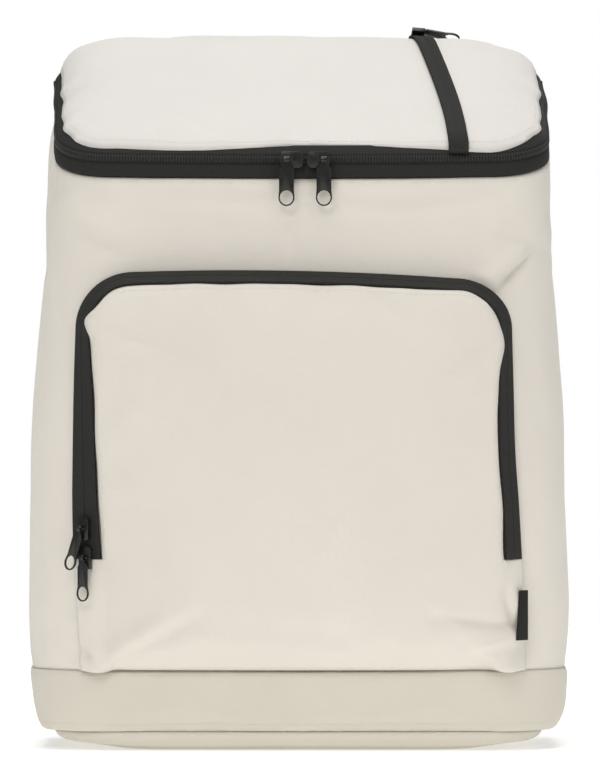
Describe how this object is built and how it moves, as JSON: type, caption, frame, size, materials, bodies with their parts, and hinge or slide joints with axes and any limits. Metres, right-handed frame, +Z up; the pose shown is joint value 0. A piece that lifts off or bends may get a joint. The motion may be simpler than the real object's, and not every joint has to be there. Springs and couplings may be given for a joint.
{
  "type": "cooler backpack",
  "caption": "Soft insulated backpack with a sloping zipped lid, a zip pocket on the lid, an arched zipped front pocket, a base band and padded shoulder straps.",
  "frame": {"origin": "middle of the flat underside", "axes": "+Z up, the front with the pocket faces -Y, the back panel and straps +Y, +X to the viewer's right"},
  "size_m": [0.3156, 0.2458, 0.4235],
  "materials": {
    "body_cloth": "plain matt weave",
    "base_cloth": "plain matt weave",
    "zip_tape": "fine ribbed tape",
    "zip_metal": "dark satin",
    "webbing": "woven ribbon",
    "buckle_plastic": "matt"
  },
  "bodies": {
    "bag": {"bottom_pad": "base_cloth", "base_band": "base_cloth", "front_and_side_wall": "body_cloth", "back_panel": "body_cloth", "lid": "body_cloth", "lid_zip_lower_tape": "zip_tape", "lid_zip_coil": "zip_tape", "lid_zip_upper_tape": "zip_tape", "lid_pocket_tape_left": "zip_tape", "lid_pocket_tape_right": "zip_tape", "pocket_face": "body_cloth", "pocket_tape_outer": "zip_tape", "pocket_tape_inner": "zip_tape", "pocket_gusset_left": "body_cloth", "pocket_gusset_right": "body_cloth", "ribbon_tab": "webbing", "lid_slider_left": "zip_metal", "lid_slider_right": "zip_metal", "pocket_slider_lower": "zip_metal", "pocket_slider_upper": "zip_metal", "lid_pocket_slider": "zip_metal", "shoulder_strap_left": "body_cloth", "shoulder_strap_right": "body_cloth", "strap_webbing_upper_left": "webbing", "strap_webbing_upper_right": "webbing", "strap_webbing_lower_left": "webbing", "strap_webbing_lower_right": "webbing", "strap_buckle_left": "buckle_plastic", "strap_buckle_right": "buckle_plastic", "strap_anchor_left": "body_cloth", "strap_anchor_right": "body_cloth"},
    "left_lid_pull": {"lid_pull_left": "zip_metal"},
    "right_lid_pull": {"lid_pull_right": "zip_metal"},
    "lower_pocket_pull": {"pocket_pull_lower": "zip_metal"},
    "upper_pocket_pull": {"pocket_pull_upper": "zip_metal"},
    "top_pocket_pull": {"lid_pocket_pull": "zip_metal"}
  },
  "joints": [
    {"name": "left_lid_pull_hinge", "type": "hinge", "parent": "bag", "child": "left_lid_pull", "pos_m": [-0.00695, -0.08786, 0.344], "axis": [-1, 0, 0], "range_deg": [0, 150]},
    {"name": "right_lid_pull_hinge", "type": "hinge", "parent": "bag", "child": "right_lid_pull", "pos_m": [0.01475, -0.0878, 0.344], "axis": [-1, 0, 0], "range_deg": [0, 150]},
    {"name": "lower_pocket_pull_hinge", "type": "hinge", "parent": "bag", "child": "lower_pocket_pull", "pos_m": [-0.1252, -0.08648, 0.113], "axis": [-0.9091, 0.4166, 0], "range_deg": [0, 150]},
    {"name": "upper_pocket_pull_hinge", "type": "hinge", "parent": "bag", "child": "upper_pocket_pull", "pos_m": [-0.12671, -0.08688, 0.1299], "axis": [-0.8486, 0.529, 0], "range_deg": [0, 150]},
    {"name": "lid_pocket_pull_hinge", "type": "hinge", "parent": "bag", "child": "top_pocket_pull", "pos_m": [0.07091, 0.07304, 0.42124], "axis": [0.1123, -0.8102, 0.5753], "range_deg": [0, 150]}
  ]
}
